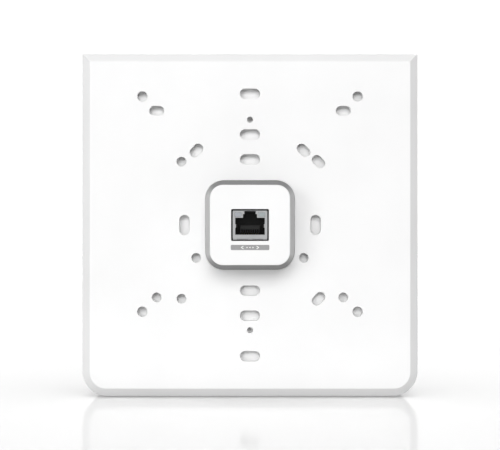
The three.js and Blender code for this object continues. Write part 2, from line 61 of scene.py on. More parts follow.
# ---- places and sizes that the frame gives ----
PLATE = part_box("mounting_plate")
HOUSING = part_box("rear_housing")
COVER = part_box("front_cover")
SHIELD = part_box("jack_shell")
WIDTH = PLATE[1].x - PLATE[0].x
HEIGHT = PLATE[1].z - PLATE[0].z
RIM_Y = PLATE[1].y
BOSS_FACE = HOUSING[0].y
FLANGE_END = HOUSING[1].y
COVER_REAR = COVER[0].y
COVER_FRONT = COVER[1].y
JACK_FACE = SHIELD[0].y
FLOOR_Z = PLATE[0].z

# ---- sizes that repeat the design's own ----
TOP_RADIUS = 0.4 * MM
BOTTOM_RADIUS = 11.6 * MM
BEVEL_IN = 4.05 * MM
BEVEL_DEPTH = 4.1 * MM
PLATE_T = 2.2 * MM
RIM_WALL = 2.2 * MM
BOSS_SIDE = 41.1 * MM
BOSS_RADIUS = 8.6 * MM
BOSS_DRAFT = 2.75 * MM
BOSS_WALL = 2.0 * MM
BOSS_GAP = 0.1 * MM
WINDOW = (16.7 * MM, 14.1 * MM)
PANEL_Y = 3.9 * MM
PANEL_IN = 4.2 * MM
PANEL_INSIDE_Y = 5.9 * MM
FLANGE_Y = 5.4 * MM
FLANGE_IN = 2.5 * MM
HOLLOW_IN = 7.2 * MM
COVER_WALL = 2.2 * MM
COVER_EDGE = 5.0 * MM
POST_R = 3.5 * MM
SHANK_HOLE_R = 1.4 * MM
BOARD_POST_END = 8.85 * MM
BOARD_HOLE_DEPTH = 2.6 * MM
COVER_POST_END = FLANGE_END + 0.15 * MM
COVER_HOLE_DEPTH = 11.8 * MM
LIGHT_GAP = 0.3 * MM
HOLLOW_RADIUS = 18 * MM
SINK_R = 2.8 * MM
SINK_END = PANEL_Y + 1.45 * MM
SINK_EDGE = 0.25 * MM
HEAD_T = 1.3 * MM
SHANK_R = 1.25 * MM
THREAD_PITCH = 0.9 * MM
PINHOLE_R = 0.9 * MM
POCKET_LOW = 70 * MM
TOOL_SLOT = (6 * MM, 0.6 * MM)
TOOL_SLOT_AT = (-0.2 * MM, 2.75 * MM)  # X, Y
TOOL_SLOT_REACH = (76 * MM, 80 * MM)
GUIDE_WALL = 1.4 * MM
GUIDE_Z = (64 * MM, 73.5 * MM)
ROUND_PAD = (3 * MM, (2.4 * MM, -46.2 * MM))  # radius, place

# holes and slots of the plate
BOX_SLOT = (9.2 * MM, 4.7 * MM)
RAIL_SLOT = (6.85 * MM, 4.45 * MM)
BOX_SPACINGS = (120.6 * MM, 83.3 * MM, 60.3 * MM)
SIDE_SPACING = 60.3 * MM
PILOT = (1.35 * MM, 48.4 * MM)  # radius, Z
SMALL_HOLE_R = 2.2 * MM
LARGE_HOLE_R = 2.35 * MM
CORNER_HOLES = (49.5 * MM, 59.1 * MM, -39.9 * MM)  # X, upper Z, lower Z
RAIL = (42.9 * MM, 52.5 * MM, -33.3 * MM)
INNER_HOLE = (24.7 * MM, -15.1 * MM)
TANGENT_SLOT = (24.6 * MM, 34.3 * MM)
DIAGONAL = (31.5 * MM, 29.1 * MM, -33.9 * MM)

HOUSING_SCREWS = [(x * 67.5 * MM, z * 69.5 * MM) for z in (1, -1) for x in (-1, 1)]
BOARD_POSTS = [(x * 52 * MM, z * MM) for z in (54, -24, -54) for x in (-1, 1)]

# roundings of edges
CRISP = 0.05 * MM
SLIGHT = 0.1 * MM
FINE = 0.15 * MM
SMALL = 0.2 * MM
SOFT = 0.3 * MM
ROUND = 0.5 * MM
HOLE_EDGE = 0.18 * MM
OPENING_EDGE = 0.08 * MM
SMOOTH_UP_TO = radians(48)


# ---- outlines ----
SHARP = 0.02 * MM  # the least radius that a corner keeps when its outline shrinks


class RoundRect:
    """A rectangle with round corners. Its rings keep one point count as it grows or shrinks."""

    def __init__(self, width, height, radius, at=(0, 0), turn=0, bottom=None, steps=8):
        self.half = (width / 2, height / 2)
        self.radii = (radius, radius if bottom is None else bottom)
        self.at = at
        self.turn = radians(turn)
        self.steps = steps
        points = self.points(0.0)
        self.kept = [
            i for i, p in enumerate(points) if (Vector(p) - Vector(points[i - 1])).length > 1e-7
        ]

    def points(self, grow):
        found = []
        for side, level, start in ((1, -1, -90), (1, 1, 0), (-1, 1, 90), (-1, -1, 180)):
            radius = max(self.radii[level < 0] + grow, SHARP)
            u0 = side * (self.half[0] + grow - radius)
            v0 = level * (self.half[1] + grow - radius)
            for i in range(self.steps + 1):
                angle = radians(start + 90 * i / self.steps)
                found.append((u0 + radius * cos(angle), v0 + radius * sin(angle)))
        return found

    def ring(self, grow):
        points = self.points(grow)
        c, s = cos(self.turn), sin(self.turn)
        u0, v0 = self.at
        return [
            (u0 + c * points[i][0] - s * points[i][1], v0 + s * points[i][0] + c * points[i][1])
            for i in self.kept
        ]


def circle(radius, at=(0, 0), steps=8):
    return RoundRect(2 * radius, 2 * radius, radius, at, steps=steps)


def stadium(size, at, turn=0):
    return RoundRect(size[0], size[1], size[1] / 2, at, turn)


class Polygon:
    """A closed outline of corners, counter-clockwise, that grows by moving each edge outwards."""

    def __init__(self, corners):
        self.corners = [Vector(c[:2]) for c in corners]

    def ring(self, grow):
        found = []
        count = len(self.corners)
        for i, here in enumerate(self.corners):
            before = (here - self.corners[i - 1]).normalized()
            after = (self.corners[(i + 1) % count] - here).normalized()
            out_before = Vector((before.y, -before.x))
            out_after = Vector((after.y, -after.x))
            found.append(here + (out_before + out_after) * grow / (1 + out_before.dot(out_after)))
        return [(p.x, p.y) for p in found]


def eased(stops, closed=False):
    """The stops as points. A stop with a third number is rounded by an arc that starts that far from it."""
    found = []
    for i, stop in enumerate(stops):
        here = Vector(stop[:2])
        if len(stop) == 2 or (not closed and i in (0, len(stops) - 1)):
            found.append(here)
            continue
        to_before = Vector(stops[i - 1][:2]) - here
        to_after = Vector(stops[(i + 1) % len(stops)][:2]) - here
        reach = min(stop[2], 0.49 * to_before.length, 0.49 * to_after.length)
        start = here + to_before.normalized() * reach
        end = here + to_after.normalized() * reach
        weight = sin(to_before.angle(to_after) / 2)
        steps = max(3, min(10, round(reach / (0.5 * MM))))
        for k in range(steps + 1):
            t = k / steps
            parts = ((1 - t) ** 2, 2 * t * (1 - t) * weight, t ** 2)
            found.append((start * parts[0] + here * parts[1] + end * parts[2]) / sum(parts))
    return found


def strip(stops, thickness):
    """The outline of a bent sheet or wire that follows the stops as its centreline."""
    line = eased(stops)
    sides = ([], [])
    for i, here in enumerate(line):
        before = (here - line[i - 1]).normalized() if i else (line[1] - here).normalized()
        after = (line[i + 1] - here).normalized() if i + 1 < len(line) else before
        normal = Vector((before.y + after.y, -before.x - after.x)) / (1 + before.dot(after))
        sides[0].append(here + normal * thickness / 2)
        sides[1].append(here - normal * thickness / 2)
    return Polygon(sides[0] + sides[1][::-1])


def mirrored(right):
    """The right half of an outline's stops, and its mirror image."""
    return right + [(-stop[0], *stop[1:]) for stop in reversed(right)]


# ---- surfaces ----
PLACING = {
    "X": lambda u, v, t: (t, u, v),
    "Y": lambda u, v, t: (u, t, v),
    "Z": lambda u, v, t: (u, v, t),
}


class Surface:
    """A mesh made of outlines swept along one axis, and of flat faces between them."""

    def __init__(self, axis="Y"):
        self.mesh = bmesh.new()
        self.place = PLACING[axis]

    def sweep(self, outline, *stops):
        """Joins rings of the outline through (place on the axis, growth) stops; gives the end rings."""
        rings = []
        for t, grow in eased(stops):
            rings.append([self.mesh.verts.new(self.place(u, v, t)) for u, v in outline.ring(grow)])
        for near, far in zip(rings, rings[1:]):
            for i in range(len(near)):
                self.mesh.faces.new((near[i - 1], near[i], far[i], far[i - 1]))
        return rings[0], rings[-1]

    def face(self, *loops):
        """Fills the flat face inside the first loop and outside the others."""
        verts = [v for loop in loops for v in loop]
        for corners in tessellate_polygon([[v.co for v in loop] for loop in loops]):
            self.mesh.faces.new([verts[i] for i in corners])

    def faces(self, *groups):
        """Fills one face for each group of loops."""
        for loops in groups:
            self.face(*loops)

    def solid(self, outline, *stops):
        """A sweep that is closed at both ends."""
        for ring in self.sweep(outline, *stops):
            self.face(ring)
        return self

    def slab(self, outline, t0, t1, edge):
        """A closed slab with rounded edges at both ends."""
        return self.solid(outline, (t0, -2 * edge), (t0, 0, edge), (t1, 0, edge), (t1, -2 * edge))

    def data(self, name):
        bmesh.ops.remove_doubles(self.mesh, verts=self.mesh.verts, dist=0.001 * MM)
        bmesh.ops.dissolve_degenerate(self.mesh, edges=self.mesh.edges, dist=0.0005 * MM)
        bmesh.ops.recalc_face_normals(self.mesh, faces=self.mesh.faces)
        made = bpy.data.meshes.new(name)
        self.mesh.to_mesh(made)
        self.mesh.free()
        return made


def add_object(name, data):
    obj = bpy.data.objects.new(name, data)
    bpy.context.scene.collection.objects.link(obj)
    return obj


def combine(data, surface, operation="DIFFERENCE"):
    """Cuts a surface out of a mesh, or joins it on, and gives the new mesh."""
    body = add_object("combining", data)
    tool = add_object("tool", surface.data("tool"))
    modifier = body.modifiers.new("combine", "BOOLEAN")
    modifier.object = tool
    modifier.operation = operation
    modifier.solver = "EXACT"
    made = bpy.data.meshes.new_from_object(body.evaluated_get(bpy.context.evaluated_depsgraph_get()))
    for spare in (body, tool):
        bpy.data.objects.remove(spare)
    made.name = data.name
    return made


def shade(obj):
    obj.data.shade_smooth()
    obj.data.set_sharp_from_angle(angle=SMOOTH_UP_TO)
    modifier = obj.modifiers.new("flat faces stay flat", "WEIGHTED_NORMAL")
    modifier.keep_sharp = True
    modifier.weight = 100


def piece(name, data, material, nodes=(), body="access_point"):
    """A finished piece that rides on a body and stands for the named CAD nodes."""
    if isinstance(data, Surface):
        data = data.data(name)
    obj = add_object(name, data)
    data.materials.clear()
    data.materials.append(material)
    shade(obj)
    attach(obj, body)
    if nodes:
        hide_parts(*nodes)
    return obj


def footprint(node):
    """A node's middle in X and Z, its width and height, and its low and high Y."""
    low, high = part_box(node)
    middle = ((low.x + high.x) / 2, (low.z + high.z) / 2)
    return middle, (high.x - low.x, high.z - low.z), low.y, high.y


# ---- materials ----
def add_node(tree, kind, output, links=(), values=(), **settings):
    """Adds a shader node and gives one of its outputs."""
    made = tree.nodes.new("ShaderNode" + kind)
    for key, value in settings.items():
        setattr(made, key, value)
    for key, value in dict(values).items():
        made.inputs[key].default_value = value
    for key, source in dict(links).items():
        tree.links.new(source, made.inputs[key])
    return made.outputs[output]


class Finish:
    """A material whose colour, roughness and bump come from noise in the object's own metres."""

    def __init__(self, name, **sockets):
        self.material = bpy.data.materials.new(name)
        self.material.use_nodes = True
        self.tree = self.material.node_tree
        self.shader = self.tree.nodes["Principled BSDF"]
        for socket, value in sockets.items():
            self.shader.inputs[socket.replace("_", " ")].default_value = value
        self.place = self.node("TexCoord", "Object")

    def node(self, *what, **settings):
        return add_node(self.tree, *what, **settings)

    def noise(self, size, detail=2.0, stretch=(1, 1, 1)):
        """Noise with features about as big as size."""
        place = self.node("Mapping", "Vector", {"Vector": self.place}, {"Scale": stretch})
        return self.node("TexNoise", "Fac", {"Vector": place}, {"Scale": 1 / size, "Detail": detail})

    def cells(self, size):
        """Distance to the middle of the nearest of many scattered cells."""
        return self.node("TexVoronoi", "Distance", {"Vector": self.place}, {"Scale": 1 / size})

    def scaled(self, value, low=0, high=1, start=0.3, end=0.7):
        values = {"From Min": start, "From Max": end, "To Min": low, "To Max": high}
        return self.node("MapRange", "Result", {"Value": value}, values)

    def mixed(self, factor, first, second):
        """A colour between two, each given as a colour or as another node's output."""
        links, values = {"Factor": factor}, {}
        for socket, colour in ((6, first), (7, second)):
            if isinstance(colour, bpy.types.NodeSocket):
                links[socket] = colour
            else:
                values[socket] = (*colour, 1)
        return self.node("Mix", 2, links, values, data_type="RGBA")

    def link(self, output, socket):
        self.tree.links.new(output, self.shader.inputs[socket])

    def colour(self, factor, first, second):
        self.link(self.mixed(factor, first, second), "Base Color")

    def drift(self, noise, factor, colour):
        """The colour, drifting to that many times itself with the noise."""
        self.colour(self.scaled(noise), shaded(colour, factor), colour)

    def rough(self, factor, low, high):
        self.link(self.scaled(factor, low, high), "Roughness")

    def bump(self, height, depth, strength=0.5):
        values = {"Distance": depth, "Strength": strength}
        self.link(self.node("Bump", "Normal", {"Height": height}, values), "Normal")


def grey(value, warmth=0.0):
    return (value * (1 + warmth), value, value * (1 - warmth))


def shaded(colour, factor):
    return tuple(c * factor for c in colour)


def moulded(name, colour, roughness, grain=0.22 * MM, depth=0.012 * MM, drift=0.97, **sockets):
    """Moulded plastic with the fine skin of a spark-eroded tool."""
    made = Finish(name, **sockets)
    made.drift(made.noise(35 * MM), drift, colour)
    made.rough(made.noise(2.5 * MM), roughness - 0.05, roughness + 0.06)
    made.bump(made.noise(grain, 3), depth)
    return made.material


def housing_with_painted_shade(name, colour, painted_side_shade, painted_level_shade):
    """The housing's plastic, with painted shade on the sides of its boss: greyer there, darkest on the
    level ones, and less specular.
    """
    made = Finish(name)
    white = made.mixed(made.scaled(made.noise(35 * MM)), shaded(colour, 0.97), colour)
    y = made.node("SeparateXYZ", "Y", {"Vector": made.place})
    facing = made.node("SeparateXYZ", "Z", {"Vector": made.node("TexCoord", "Normal")})
    level = made.node("Math", "Value", {0: facing}, operation="ABSOLUTE")
    # painted shade: the boss sides get a greyer base colour, darkest where they face up or down
    painted_shade_tones = shaded(colour, painted_side_shade), shaded(colour, painted_level_shade)
    painted_shade_colour = made.mixed(made.scaled(level, start=0.2, end=0.8), *painted_shade_tones)
    # this mask picks the boss sides, between its face and its foot, where the shade is painted
    past_face = made.scaled(y, 0, 1, BOSS_FACE + 0.2 * MM, BOSS_FACE + 0.5 * MM)
    before_foot = made.scaled(y, 1, 0, -0.6 * MM, 0)
    side = made.node("Math", "Value", {0: past_face, 1: before_foot}, operation="MULTIPLY")
    made.colour(side, white, painted_shade_colour)
    # the painted-shade mask also takes the specular off the boss sides
    made.link(made.scaled(side, 0.3, 0, 0, 1), "Specular IOR Level")
    made.rough(made.noise(2.5 * MM), 0.44, 0.55)
    made.bump(made.noise(0.2 * MM, 3), 0.012 * MM)
    return made.material


def rolled(name, colour, roughness, along=(1, 1, 0.06), depth=0.004 * MM, stain=0.88):
    """Plated or bare sheet metal with fine rolling lines and faint stains."""
    made = Finish(name, Metallic=1.0)
    made.drift(made.noise(4 * MM, 3), stain, colour)
    lines = made.noise(0.12 * MM, 2, along)
    made.rough(lines, roughness - 0.07, roughness + 0.09)
    made.bump(lines, depth)
    return made.material


def cast(name, colour, roughness, metallic=1.0):
    """Blasted castings, cans and sintered cores."""
    made = Finish(name, Metallic=metallic)
    made.drift(made.noise(6 * MM, 4), 0.85, colour)
    made.rough(made.noise(0.8 * MM), roughness - 0.06, roughness + 0.08)
    made.bump(made.cells(0.35 * MM), 0.02 * MM)
    return made.material


def filled_nylon(name, colour):
    """Black glass-filled nylon: short pale fibres near the skin."""
    made = Finish(name, Specular_IOR_Level=0.25)
    fibre = made.scaled(made.noise(0.18 * MM, 4, (1, 0.25, 1)), 0, 0.5, 0.55, 0.8)
    made.colour(fibre, colour, grey(0.04))
    made.rough(made.noise(0.6 * MM), 0.36, 0.55)
    made.bump(made.noise(0.1 * MM), 0.01 * MM)
    return made.material


def printed(name, colour):
    """Screen-printed ink with a slightly uneven film."""
    made = Finish(name)
    made.drift(made.noise(0.5 * MM, 4), 0.93, colour)
    made.rough(made.noise(0.3 * MM), 0.5, 0.68)
    made.bump(made.noise(0.12 * MM), 0.004 * MM)
    return made.material


def frosted(name, colour, roughness=0.35, transmission=0.5):
    """A milky lens or light pipe."""
    made = Finish(name, Transmission_Weight=transmission, IOR=1.49)
    made.drift(made.noise(1.2 * MM), 0.94, colour)
    made.rough(made.noise(0.3 * MM), roughness - 0.08, roughness + 0.08)
    made.bump(made.noise(0.15 * MM), 0.006 * MM)
    return made.material


def laminate(name):
    """Black solder mask over copper: straight traces and pours show through as a lighter tone."""
    made = Finish(name, Coat_Weight=0.4, Coat_Roughness=0.12)
    x, z = [made.node("SeparateXYZ", axis, {"Vector": made.place}) for axis in "XZ"]
    plane = made.node("CombineXYZ", "Vector", {"X": x, "Y": z})
    lanes = made.node("TexBrick", "Color", {"Vector": plane}, {
        "Color1": (1, 1, 1, 1), "Color2": (0.2, 0.2, 0.2, 1), "Mortar": (0, 0, 0, 1),
        "Scale": 1.0, "Brick Width": 7 * MM, "Row Height": 0.9 * MM, "Mortar Size": 0.22 * MM,
    }, offset=0.37)
    pours = made.scaled(made.noise(11 * MM, 1), start=0.49, end=0.51)
    copper = made.mixed(pours, (0.006, 0.008, 0.008), (0.016, 0.02, 0.019))
    made.colour(lanes, copper, (0.024, 0.03, 0.028))
    made.rough(made.noise(3 * MM), 0.28, 0.4)
    made.bump(lanes, 0.03 * MM)
    return made.material


def taped(name, colour):
    """Wound polyester tape with the turns of wire printing through."""
    made = Finish(name, Coat_Weight=0.3)
    turns = made.noise(0.5 * MM, 1, (0.05, 1, 0.05))
    made.drift(turns, 0.7, colour)
    made.rough(made.noise(1 * MM), 0.25, 0.4)
    made.bump(turns, 0.08 * MM)
    return made.material


WHITE = moulded("plate_plastic", grey(0.87), 0.5, Specular_IOR_Level=0.3)
# the boss sides of the housing carry painted shade: greyer, and darkest above and below
HOUSING_WHITE = housing_with_painted_shade("housing_plastic", grey(0.87), painted_side_shade=0.72, painted_level_shade=0.34)
COVER_WHITE = moulded("cover_plastic", grey(0.87), 0.4, grain=0.12 * MM, depth=0.006 * MM)
LATCH_WHITE = moulded("latch_plastic", grey(0.8, 0.01), 0.42)
NICKEL = rolled("jack_metal", grey(0.49, -0.015), 0.38)
NYLON = filled_nylon("jack_plastic", grey(0.012))
GOLD = rolled("contact_gold", (0.8, 0.58, 0.26), 0.24, (1, 0.1, 1))
LENSES = {
    "jack_led_left": frosted("led_lens_left", (0.385, 0.405, 0.435), transmission=0.1),
    "jack_led_right": frosted("led_lens_right", (0.37, 0.41, 0.42), transmission=0.1),
}
INK_GREY = printed("label_ink", grey(0.32))
INK_WHITE = printed("label_symbol", grey(0.82))
BOARD_BLACK = laminate("board_laminate")
ALUMINIUM = cast("spreader_aluminium", grey(0.7), 0.42)
TIN = rolled("can_tin", grey(0.74, 0.01), 0.26, (0.06, 1, 1))
ANTENNA_TIN = rolled("antenna_tin", grey(0.72, 0.015), 0.28)
SILICONE = moulded("thermal_pad", (0.3, 0.38, 0.45), 0.8, grain=0.4 * MM, depth=0.04 * MM, drift=0.85)
FERRITE = cast("ferrite", grey(0.03), 0.55, metallic=0.0)
EPOXY = cast("black_epoxy", grey(0.02), 0.6, metallic=0.0)
TAPE = taped("winding_tape", grey(0.05))
CAN = rolled("capacitor_can", grey(0.68), 0.3, (1, 0.06, 1))
CLEAR = frosted("light_guide", (0.8, 0.83, 0.86), 0.3, 0.35)
LED_CLEAR = frosted("led_epoxy", (0.92, 0.93, 0.88), 0.15, 0.7)
BLACK = moulded("switch_plastic", grey(0.03), 0.45, drift=0.8)
STEEL = rolled("screw_steel", grey(0.58), 0.3)
SPRING_STEEL = rolled("spring_steel", grey(0.6), 0.25, (0.06, 1, 1))


# ---- casing ----
PRODUCT = RoundRect(WIDTH, HEIGHT, TOP_RADIUS, bottom=BOTTOM_RADIUS, steps=12)
BOSS = RoundRect(BOSS_SIDE, BOSS_SIDE, BOSS_RADIUS, steps=14)
WALL_FACE = 0.0


def plate_holes():
    """Outlines of the screw slots and holes: one half of the pattern on each side of the boss."""
    found = []
    for side in (-1, 1):
        diagonal = DIAGONAL[1 if side > 0 else 2]
        found += [stadium(BOX_SLOT, (0, side * spacing / 2)) for spacing in BOX_SPACINGS]
        found += [circle(LARGE_HOLE_R, (side * CORNER_HOLES[0], level)) for level in CORNER_HOLES[1:]]
        found += [
            stadium(BOX_SLOT, (side * SIDE_SPACING / 2, 0), 90),
            circle(PILOT[0], (0, side * PILOT[1])),
            stadium(RAIL_SLOT, (side * RAIL[0], RAIL[1])),
            circle(SMALL_HOLE_R, (side * RAIL[0], RAIL[2])),
            circle(SMALL_HOLE_R, (side * INNER_HOLE[0], INNER_HOLE[1])),
            stadium(RAIL_SLOT, (side * TANGENT_SLOT[0], TANGENT_SLOT[1]), -45 * side),
            circle(SMALL_HOLE_R, (-DIAGONAL[0], diagonal)),
            stadium(RAIL_SLOT, (DIAGONAL[0], diagonal), -45 * side),
        ]
    return found


def mounting_plate():
    made = Surface()
    tray_in = RIM_WALL + RIM_Y - PLATE_T
    ends = [made.sweep(
        PRODUCT,
        (WALL_FACE, -BEVEL_IN - 1 * MM), (WALL_FACE, -BEVEL_IN, 0.25 * MM), (BEVEL_DEPTH, 0, 1 * MM),
        (RIM_Y, 0, FINE), (RIM_Y, -RIM_WALL, FINE), (PLATE_T, -tray_in, SOFT),
        (PLATE_T, -tray_in - 1 * MM),
    )]
    side = BOSS_SIDE + 2 * BOSS_GAP
    openings = [(RoundRect(side, side, BOSS_RADIUS + BOSS_GAP, steps=14), OPENING_EDGE)]
    openings += [(outline, HOLE_EDGE) for outline in plate_holes()]
    for outline, edge in openings:
        ends.append(made.sweep(
            outline,
            (WALL_FACE, 2 * edge), (WALL_FACE, 0, edge), (PLATE_T, 0, SMALL), (PLATE_T, 2 * SMALL),
        ))
    made.faces(*zip(*ends))
    data = combine(made.data("mounting_plate"), latch_pocket())
    data = combine(data, tool_slot())
    piece("mounting_plate_body", data, WHITE, ["mounting_plate"], "plate")


def latch_pocket():
    """The pocket behind the top rim that the latch reaches into."""
    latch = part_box("release_latch")
    half = latch[1].x + 0.7 * MM
    low, high = POCKET_LOW, latch[1].z + 0.4 * MM
    outline = RoundRect(2 * half, high - low, ROUND, (0, (low + high) / 2))
    return Surface().slab(outline, PLATE_T, RIM_Y + 1 * MM, SLIGHT)


def tool_slot():
    """The thin slot in the top bevel, through which a flat tool presses the latch."""
    slot = RoundRect(*TOOL_SLOT, 0.29 * MM, TOOL_SLOT_AT)
    return Surface("Z").slab(slot, *TOOL_SLOT_REACH, CRISP)


def screw_post(made, spot, start, end, depth):
    """A hollow post on a flat face. Gives the ring at its foot."""
    hole_end = end - depth if end > start else end + depth
    bore = SHANK_HOLE_R - POST_R
    foot, bottom = made.sweep(
        circle(POST_R, spot),
        (start, 0.6 * MM), (start, 0, 0.4 * MM), (end, 0, 0.25 * MM), (end, bore, SLIGHT),
        (hole_end, bore), (hole_end, 0.5 * MM - POST_R),
    )
    made.face(bottom)
    return foot


def boss(made):
    """The boss with its window, outside and inside. Gives its foot and its mouth into the casing."""
    face_ring, foot = made.sweep(
        BOSS,
        (BOSS_FACE, -BOSS_DRAFT - 1 * MM), (BOSS_FACE, -BOSS_DRAFT, ROUND), (0, 0), (PANEL_Y, 0, SMALL),
        (PANEL_Y, 2 * SMALL),
    )
    back = BOSS_FACE + BOSS_WALL
    window_front, window_back = made.sweep(
        RoundRect(*WINDOW, ROUND),
        (BOSS_FACE, 2 * SMALL), (BOSS_FACE, 0, SMALL), (back, 0, SLIGHT), (back, 3 * SLIGHT),
    )
    made.face(face_ring, window_front)
    side = BOSS_SIDE - 2 * BOSS_WALL
    end, mouth_ring = made.sweep(
        RoundRect(side, side, BOSS_RADIUS - BOSS_WALL, steps=10),
        (back, -BOSS_DRAFT - 1 * MM), (back, -BOSS_DRAFT, ROUND),
        (0, 0), (PANEL_INSIDE_Y, 0, SOFT), (PANEL_INSIDE_Y, 2 * SOFT),
    )
    made.face(end, window_back)
    return foot, mouth_ring


def housing_screw_hole(made, spot):
    """A hole for a housing screw, counterbored from behind. Gives its two rim rings."""
    bore = SHANK_HOLE_R - SINK_R
    return made.sweep(
        circle(SINK_R, spot),
        (PANEL_Y, 2 * SINK_EDGE), (PANEL_Y, 0, SINK_EDGE), (SINK_END, 0, SLIGHT), (SINK_END, bore),
        (FLANGE_END, bore, SLIGHT), (FLANGE_END, bore + 2 * SLIGHT),
    )


def rear_housing():
    made = Surface()
    boss_foot, boss_mouth = boss(made)
    panel_ring, flange_ring = made.sweep(
        PRODUCT,
        (PANEL_Y, -PANEL_IN - 1 * MM), (PANEL_Y, -PANEL_IN, SOFT), (FLANGE_Y, -PANEL_IN, SMALL),
        (FLANGE_Y, -FLANGE_IN, FINE), (FLANGE_END, -FLANGE_IN, SMALL),
        (FLANGE_END, -FLANGE_IN - 0.5 * MM),
    )
    hollow_mouth, hollow_floor = made.sweep(
        RoundRect(WIDTH - 2 * HOLLOW_IN, HEIGHT - 2 * HOLLOW_IN, HOLLOW_RADIUS, steps=10),
        (FLANGE_END, 2 * SMALL), (FLANGE_END, 0, SMALL), (PANEL_INSIDE_Y, 0, 0.4 * MM),
        (PANEL_INSIDE_Y, -0.7 * MM),
    )
    rear, flange, floor = [panel_ring, boss_foot], [flange_ring, hollow_mouth], [hollow_floor, boss_mouth]
    for spot in HOUSING_SCREWS:
        sink, end = housing_screw_hole(made, spot)
        rear.append(sink)
        flange.append(end)
    for spot in BOARD_POSTS:
        floor.append(screw_post(made, spot, PANEL_INSIDE_Y, BOARD_POST_END, BOARD_HOLE_DEPTH))
    for outline, tall, edge in rear_features():
        foot, top = made.sweep(
            outline,
            (PANEL_Y, 2 * edge), (PANEL_Y, 0, edge), (PANEL_Y - tall, 0, edge), (PANEL_Y - tall, -2 * edge),
        )
        rear.append(foot)
        made.face(top)
    made.faces(rear, flange, floor)
    piece("rear_housing_body", made, HOUSING_WHITE, ["rear_housing"])


def rear_features():
    """What stands on the back of the housing: the round pad, and the guide round the latch."""
    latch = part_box("release_latch")
    near = latch[1].x + 0.5 * MM
    far = near + GUIDE_WALL
    (low, high), seat = GUIDE_Z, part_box("latch_spring")[0].z - 0.15 * MM
    guide = Polygon(mirrored([(far, low), (far, high), (near, high), (near, seat)]))
    return (circle(*ROUND_PAD), 0.6 * MM, SLIGHT), (guide, PANEL_Y - latch[0].y, 0.12 * MM)


def front_cover():
    made = Surface()
    inner_y = COVER_FRONT - COVER_WALL
    front, inner = made.sweep(
        PRODUCT,
        (COVER_FRONT, -COVER_EDGE - 2 * MM), (COVER_FRONT, 0, COVER_EDGE), (COVER_REAR, 0, SOFT),
        (COVER_REAR, -COVER_WALL, SMALL), (inner_y, -COVER_WALL, COVER_EDGE - COVER_WALL),
        (inner_y, -COVER_EDGE - 2 * MM),
    )
    at, size, *_ = footprint("light_guide")
    light_front, light_back = made.sweep(
        stadium((size[0] + LIGHT_GAP, size[1] + LIGHT_GAP), at),
        (COVER_FRONT, 0.5 * MM), (COVER_FRONT, 0, SMALL), (inner_y, 0, SLIGHT), (inner_y, 3 * SLIGHT),
    )
    feet = [
        screw_post(made, spot, inner_y, COVER_POST_END, COVER_HOLE_DEPTH) for spot in HOUSING_SCREWS
    ]
    made.faces([front, light_front], [inner, light_back, *feet])
    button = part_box("reset_button")
    at = ((button[0].x + button[1].x) / 2, (button[0].y + button[1].y) / 2)
    through = FLOOR_Z - 1 * MM, FLOOR_Z + COVER_WALL + 1 * MM
    pinhole = Surface("Z").slab(circle(PINHOLE_R, at), *through, CRISP)
    data = combine(made.data("front_cover"), pinhole)
    piece("front_cover_body", data, COVER_WHITE, ["front_cover"])


def release_latch():
    low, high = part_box("release_latch")
    neck = high.x - 1.4 * MM
    shoulder, slope = low.z + 2.6 * MM, 0.8 * MM
    corners = mirrored([
        (high.x, low.z, 0.4 * MM), (high.x, shoulder, ROUND), (neck, shoulder + slope, 0.4 * MM),
        (neck, high.z, 0.6 * MM),
    ])
    made = Surface().slab(Polygon(eased(corners, closed=True)), low.y, high.y, FINE)
    piece("release_latch_body", made, LATCH_WHITE, ["release_latch"], "latch")


def latch_spring():
    """A serpentine spring. The real one shortens as the latch comes down; this one is drawn in a single
    state.
    """
    low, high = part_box("latch_spring")
    wire, runs, bend = 0.4 * MM, 6, SOFT
    rise = (high.z - low.z - wire) / (runs - 1)
    right, start = high.x - wire / 2, low.z + wire / 2
    stops = []
    for i in range(runs):
        near = right if i % 2 else -right
        stops += [(near, start + i * rise, bend), (-near, start + i * rise, bend)]
    made = Surface().slab(strip(stops, wire), low.y, high.y, 0.08 * MM)
    spring = piece("latch_spring_wire", made, SPRING_STEEL, ["latch_spring"])
    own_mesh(spring)


# ---- network jack ----
CAVITY_HALF = 6.55 * MM
CAVITY_LOW = -4.3 * MM
CAVITY_HIGH = 3.2 * MM
CAVITY_END = JACK_FACE + 13.5 * MM
NOTCH_WIDE = (3.1 * MM, 4.83 * MM)  # half its width, its top
NOTCH_NARROW = (2.5 * MM, 6.15 * MM)
FINGER = (-1.25 * MM, 0.45 * MM)  # its low and high Z
SHEET = 0.35 * MM
FOOT_TALL = 0.35 * MM
TAB_WIDTH = 1.9 * MM
TABS = (-6.7 * MM, 0, 6.7 * MM)
LIP_WIDTH = 14 * MM
COMB_HALF = 4.5 * MM
COMB = (-1.95 * MM, -0.1 * MM)  # its low and high Z
TOOTH = (0.46 * MM, 2.0 * MM)  # width, drop


def mouth(grow, round_by, finger=0.0):
    """The stepped mouth of the socket. Fingers of the shield may reach in from both sides."""
    wide, low, high = CAVITY_HALF + grow, CAVITY_LOW - grow, CAVITY_HIGH + grow
    mid, mid_high = NOTCH_WIDE[0] + grow, NOTCH_WIDE[1] + grow
    narrow, top = NOTCH_NARROW[0] + grow, NOTCH_NARROW[1] + grow
    right = [(wide, low)]
    if finger:
        right += [(wide, FINGER[0]), (wide - finger, FINGER[0] + 0.1 * MM)]
        right += [(wide - finger, FINGER[1] - 0.1 * MM), (wide, FINGER[1])]
    right += [(wide, high), (mid, high), (mid, mid_high), (narrow, mid_high), (narrow, top)]
    return Polygon(eased(mirrored([(x, z, round_by) for x, z in right]), closed=True))


def led_outline(node, grow=0.0):
    at, size, *_ = footprint(node)
    return RoundRect(size[0] + 2 * grow, size[1] + 2 * grow, 0.25 * MM, at, steps=5)


